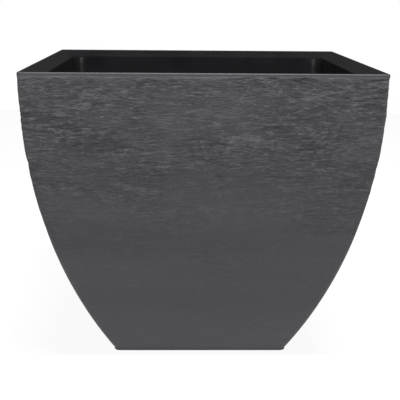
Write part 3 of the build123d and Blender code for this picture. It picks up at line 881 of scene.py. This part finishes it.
    def add_rib(self, shape: bmesh.types.BMesh, across: int, side: int, low: float) -> None:
        """Adds one closed rib, with a drain notch in the middle of its foot.

        Args:
            shape: the mesh that gets the rib.
            across: 0 for a rib along X, 1 for a rib along Y.
            side: which of the pair it is.
            low: height of the floor that it stands on.
        """
        middle = side * self.rib_spacing / 2
        reach_low = self.form.half_width(low, self.wall / 2)
        reach_high = self.form.half_width(self.rib_top, self.wall / 2)
        under, gap = low + self.notch_height, self.notch / 2
        section = [(-reach_low, low), (-gap, low), (-gap, under), (gap, under), (gap, low)]
        section += [(reach_low, low), (reach_high, self.rib_top), (-reach_high, self.rib_top)]
        sides = []
        for edge in (middle - self.rib_width / 2, middle + self.rib_width / 2):
            places = [(u, edge, z) if across == 0 else (edge, u, z) for u, z in section]
            sides.append([shape.verts.new(p) for p in places])
        faces = [shape.faces.new(sides[0]), shape.faces.new(sides[1])]
        for i in range(len(section)):
            j = (i + 1) % len(section)
            faces.append(shape.faces.new((sides[0][i], sides[0][j], sides[1][j], sides[1][i])))
        bmesh.ops.recalc_face_normals(shape, faces=faces)


def smoothstep(low: float, high: float, value: float) -> float:
    """Rises smoothly from 0 at low to 1 at high."""
    t = min(max((value - low) / (high - low), 0.0), 1.0)
    return t * t * (3 - 2 * t)


# ------------------------------------------------------------------ liner
@dataclass
class DropInLiner:
    """Black liner: mitred lip that slopes inwards, bowed walls with round corners, and a holed floor."""

    form: BowedForm
    setback: float = 26 * MM
    wall: float = 3 * MM
    underside: float = 19 * MM
    floor: float = 3.5 * MM
    corner: float = 28 * MM
    floor_radius: float = 6 * MM
    lip_thickness: float = 3 * MM
    lip_drop: float = 9.5 * MM
    lip_land: float = 2 * MM
    lip_gap: float = 2.7 * MM
    below_crest: float = 0.4 * MM
    rim_corner: float = 3.3 * MM
    hook_inset: float = 5.3 * MM
    hook_corner: float = 8 * MM
    neck_corner: float = 2 * MM
    spigot_hole: float = 17.05 * MM
    overflow_radius: float = 4 * MM
    overflow_spacing: float = 60 * MM
    overflow_height: float = 81.5 * MM
    columns: int = 28
    corner_steps: int = 10
    lip_rows: int = 5
    inside_rows: int = 32
    outside_rows: int = 24

    def rings(self) -> list[Ring]:
        """Section of the liner, from the lip's outer edge inwards and back up the outside.

        Returns:
            The rings.
        """
        form = self.form
        rim = form.rim_width / 2 - self.lip_gap
        top = form.height - self.below_crest
        inner = form.rim_width / 2 - self.setback
        inner_top = top - self.lip_drop
        land = inner_top - self.lip_land
        slope = self.lip_drop / (rim - inner)
        sharp = 0.9 * MM
        edge = 0.8 * MM

        def on_lip(half: float) -> float:
            """Height of the lip's top face."""
            return top - slope * (rim - half)

        # The lip's outer edge is rounded through three close rings, then its top slopes inwards.
        rings = [Ring(rim, top - drop, self.rim_corner) for drop in (self.lip_thickness, 0.5 * MM)]
        rings += [Ring(rim - 0.15 * MM, top - 0.18 * MM, self.rim_corner - 0.1 * MM)]
        start = rim - 0.6 * MM
        rings += [Ring(start, on_lip(start) - 0.02 * MM, self.rim_corner - 0.5 * MM)]
        for i in range(1, self.lip_rows + 1):
            t = i / self.lip_rows
            half = start - (start - inner - edge) * t
            rings.append(Ring(half, on_lip(half), sharp + (self.rim_corner - sharp) * (1 - t)))
        rings += [Ring(inner + 0.22 * edge, inner_top - 0.05 * MM, sharp)]
        rings += [Ring(inner, z, sharp) for z in (inner_top - 0.9 * edge, land)]
        wall_top = form.half_width(land, self.setback)
        rings += [Ring(wall_top, land - 0.01 * MM, self.corner - edge)]
        rings += [Ring(wall_top - 0.02 * MM, land - edge, self.corner)]
        low = self.underside + self.floor + self.floor_radius
        for i in range(1, self.inside_rows + 1):
            z = land - edge + (low - land + edge) * i / self.inside_rows
            rings.append(Ring(form.half_width(z, self.setback), z, self.corner))
        half = form.half_width(low, self.setback)
        for h, z in arc_points((half - self.floor_radius, low), self.floor_radius, -15, -90, 5):
            rings.append(Ring(h, z, self.corner - (half - h)))
        for z in (self.underside + self.floor, self.underside):
            rings.append(Ring(self.spigot_hole, z, self.spigot_hole))
        under = self.floor_radius + self.floor
        outset = self.setback - self.wall
        foot = form.half_width(self.underside + under, outset)
        for h, z in arc_points((foot - under, self.underside + under), under, -90, -10, 6):
            rings.append(Ring(h, z, self.corner + self.wall - (foot - h)))
        neck_top = land - self.wall
        for i in range(1, self.outside_rows + 1):
            z = self.underside + under + (neck_top - self.underside - under) * i / self.outside_rows
            rings.append(Ring(form.half_width(z, outset), z, self.corner + self.wall))
        depth = self.lip_thickness * math.sqrt(1 + slope * slope)
        neck = form.rim_width / 2 - outset
        hook = form.rim_width / 2 - self.hook_inset
        rings += [Ring(neck, z, self.neck_corner) for z in (neck_top, on_lip(neck) - depth)]
        rings += [Ring(hook, on_lip(hook) - depth, self.hook_corner)]
        rings += [Ring(hook, top - self.lip_thickness, self.hook_corner)]
        return rings

    def build(self, material: bpy.types.Material) -> bpy.types.Object:
        """Builds the liner and drills its overflow holes.

        Args:
            material: the liner's finish.

        Returns:
            The liner.
        """
        mesh = skin_rings("drop_in_liner", self.rings(), self.columns, self.corner_steps)
        liner = new_object("drop_in_liner", mesh)
        back = self.form.half_width(self.overflow_height, self.setback)
        holes = []
        for side in (-1, 1):
            near = Vector((side * self.overflow_spacing / 2, back - 10 * MM, self.overflow_height))
            holes.append((near, near + Vector((0, 24 * MM, 0)), self.overflow_radius))
        drill(liner, holes)
        liner.data.materials.clear()
        liner.data.materials.append(material)
        smooth(liner, 32)
        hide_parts("inner_liner")
        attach(liner, "liner")
        report(liner, "liner")
        return liner


# ------------------------------------------------------------------ small moulded pieces
@dataclass
class SoftenedParts:
    """Small pieces whose shape is right: each gets a copy with rounded edges and its own finish."""

    nodes: dict[str, bpy.types.Object]
    bodies: dict[str, list[str]]
    slots: dict[str, str]
    edge: float = 0.45 * MM

    def body_of(self, node: str) -> str:
        """The body that a node belongs to."""
        return next(body for body, members in self.bodies.items() if node in members)

    def soften(self, node: str, material: bpy.types.Material) -> bpy.types.Object:
        """Replaces a node by a copy with rounded edges.

        Args:
            node: the node's name.
            material: its finish.

        Returns:
            The new piece.
        """
        shape = bmesh.new()
        shape.from_mesh(self.nodes[node].data)
        bmesh.ops.remove_doubles(shape, verts=shape.verts, dist=0.005 * MM)
        flat = math.radians(0.5)
        bmesh.ops.dissolve_limit(shape, angle_limit=flat, verts=shape.verts, edges=shape.edges)
        mesh = bpy.data.meshes.new(node)
        shape.to_mesh(mesh)
        shape.free()
        mesh.materials.clear()
        mesh.materials.append(material)
        mesh.shade_smooth()
        piece = new_object(f"{node}_finished", mesh)
        bevel = piece.modifiers.new("edge", "BEVEL")
        bevel.width = self.edge
        bevel.segments = 2
        bevel.limit_method = "ANGLE"
        bevel.angle_limit = math.radians(40)
        flats = piece.modifiers.new("flats", "WEIGHTED_NORMAL")
        flats.weight = 100
        apply_modifiers(piece)
        body = self.body_of(node)
        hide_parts(node)
        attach(piece, body)
        report(piece, body)
        return piece


# ------------------------------------------------------------------ studio
@dataclass(frozen=True)
class Softbox:
    """A rectangular light that faces the planter, with its power in watts."""

    name: str
    place: tuple[float, float, float]
    width: float
    height: float
    power: float


SOFTBOXES = (
    Softbox("left_strip", (-2.2, -1.3, 1.0), 0.35, 1.6, 14),
    Softbox("right_strip", (2.2, -1.3, 1.0), 0.35, 1.6, 13),
    Softbox("overhead", (0.2, -1.0, 2.6), 1.2, 0.25, 110),
)


@dataclass
class Studio:
    """White table, two tall strip lights at the sides, a narrow light above, and the camera."""

    centre: Vector
    width: float
    height: float
    orbit: float = -1.33
    pitch: float = 12.43
    roll: float = 0.48
    lens: float = 85.3
    distance: float = 3.034
    above_rim: float = 0.2134
    sideways: float = 0.0028
    table_radius: float = 3.0
    gap: float = 0.2 * MM
    surround: float = 0.05

    def add_floor(self, material: bpy.types.Material) -> bpy.types.Object:
        """Lays the round white table that the planter stands on, a hair below it.

        Args:
            material: the table's finish.

        Returns:
            The table.
        """
        shape = bmesh.new()
        bmesh.ops.create_circle(shape, cap_ends=True, segments=96, radius=self.table_radius)
        mesh = bpy.data.meshes.new("studio_table")
        shape.to_mesh(mesh)
        shape.free()
        mesh.materials.append(material)
        table = new_object("studio_table", mesh)
        table.location.z = -self.gap
        table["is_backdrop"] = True
        return table

    def add_light(self, box: Softbox) -> bpy.types.Object:
        """Adds a light that faces the planter's middle.

        Args:
            box: where it stands, and its size and power.

        Returns:
            The light.
        """
        lamp = bpy.data.lights.new(box.name, "AREA")
        lamp.shape = "RECTANGLE"
        lamp.size, lamp.size_y = box.width, box.height
        lamp.energy = box.power
        light = bpy.data.objects.new(box.name, lamp)
        bpy.context.scene.collection.objects.link(light)
        light.location = box.place
        target = self.centre + Vector((0, 0, self.height / 2))
        light.rotation_euler = (target - light.location).to_track_quat("-Z", "Y").to_euler()
        return light

    def add_lights(self) -> None:
        """Sets up the softboxes, and a surround that shows white and gives a little light."""
        for box in SOFTBOXES:
            self.add_light(box)
        world = bpy.data.worlds.new("white_surround")
        bpy.context.scene.world = world
        world.use_nodes = True
        tree = world.node_tree
        tree.nodes.clear()
        seen = add_node(tree, "ShaderNodeLightPath").outputs["Is Camera Ray"]
        shown = add_node(tree, "ShaderNodeBackground", [srgb("ffffff"), 1.0])
        given = add_node(tree, "ShaderNodeBackground", [srgb("ffffff"), self.surround])
        both = add_node(tree, "ShaderNodeMixShader", [seen, given, shown])
        add_node(tree, "ShaderNodeOutputWorld", [both])
        bpy.context.scene.view_settings.view_transform = "Standard"

    def add_camera(self) -> bpy.types.Object:
        """Adds the camera, in front of the planter and a little above its rim.

        Returns:
            The camera.
        """
        place = Vector((self.sideways, -self.distance, 0)) * self.width
        place.z = self.height + self.above_rim * self.width
        pitch, roll = math.radians(self.pitch), math.radians(self.roll)
        forward = Vector((0, math.cos(pitch), -math.sin(pitch)))
        level = Vector((1, 0, 0))
        up = level.cross(forward)
        right = math.cos(roll) * level + math.sin(roll) * up
        top = right.cross(forward)
        basis = Matrix((right, top, -forward)).transposed().to_4x4()
        turn = Matrix.Rotation(math.radians(self.orbit), 4, "Z")
        data = bpy.data.cameras.new("camera")
        data.lens = self.lens
        data.sensor_width = 36.0
        camera = bpy.data.objects.new("camera", data)
        bpy.context.scene.collection.objects.link(camera)
        camera.matrix_world = Matrix.Translation(self.centre) @ turn @ Matrix.Translation(place) @ basis
        bpy.context.scene.camera = camera
        return camera


# ------------------------------------------------------------------ assembly
def finishes() -> dict[str, bpy.types.Material]:
    """Builds every finish once.

    Returns:
        The materials by the name that the assembly uses.
    """
    recipes: dict[str, Any] = {
        "slate": SlateMoulding(),
        # The mould's inner side: dull, slightly rough skin without the slate pattern.
        "inside": Moulding("rotomoulded_polyethylene_inside", "242427", "2e2e31", 0.6, 1.6 * MM, 0.09 * MM),
        # Black drop-in liner: deep satin black, with a soft sheen in its corners.
        "liner": Moulding(
            "satin_black_polypropylene", "151517", "1b1b1d", 0.33, 0.8 * MM, 0.015 * MM, shine=0.3
        ),
        # Grained sheets and legs: dark grey, a little paler where they are rubbed.
        "platform": Moulding("grained_grey_polypropylene", "2b2b2e", "37373a", 0.5),
        "basket": Moulding("grained_black_polypropylene", "19191a", "232324", 0.5),
        # Extruded pipe: smoother, with faint lines drawn along it.
        "tube": Moulding(
            "extruded_black_pvc", "1c1c1e", "272729", 0.36, 1.2 * MM, 0.03 * MM, Spread.UPRIGHT, ior=1.54
        ),
        # Threaded and hinged fittings: hard, slightly glossy black.
        "plug": Moulding("moulded_black_nylon", "161617", "202022", 0.38, 0.6 * MM, 0.03 * MM, ior=1.53),
        # Float rod: smooth signal red, the one bright piece.
        "rod": Moulding("gloss_red_abs", "a81a12", "bd2418", 0.22, 1.0 * MM, 0.01 * MM, ior=1.53),
        "rubber": Rubber(),
        "steel": DrawnSteel(),
        "window": ClearPolycarbonate(),
        "foam": BeadFoam(),
        "table": LitAcrylic(),
    }
    return {name: recipe.build() for name, recipe in recipes.items()}


def main() -> None:
    """Loads the frame, builds each sub-assembly in order and sets up the studio."""
    logging.basicConfig(level=logging.INFO, format="%(name)s: %(message)s")
    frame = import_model()
    cad_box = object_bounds()
    record = frame["record"]
    material = finishes()

    low, high = cad_box
    underside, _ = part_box("outer_shell")
    form = BowedForm(rim_width=high[0] - low[0], height=high[2])
    shell = SlateShell(form, underside.z)
    shell.build_walls(material["slate"])
    shell.build_floor(material["inside"])
    DropInLiner(form).build(material["liner"])

    slots = {part["node"]: part["material_slot"] for part in record["subparts"]}
    parts = SoftenedParts(frame["nodes"], record["behaviour"]["bodies"], slots)
    by_slot: dict[str, str] = {
        "rubber_black": "rubber",
        "seal_rubber": "rubber",
        "platform_grey": "platform",
        "basket_black": "basket",
        "tube_black": "tube",
        "collar_black": "plug",
        "cap_black": "plug",
        "plug_black": "plug",
        "pin_steel": "steel",
        "window_clear": "window",
        "float_foam": "foam",
        "rod_red": "rod",
    }
    for node, slot in slots.items():
        if slot in by_slot:
            parts.soften(node, material[by_slot[slot]])

    centre = Vector(((low[0] + high[0]) / 2, (low[1] + high[1]) / 2, 0))
    studio = Studio(centre, form.rim_width, form.height)
    studio.add_floor(material["table"])
    studio.add_lights()
    studio.add_camera()


if __name__ == "__main__":
    main()
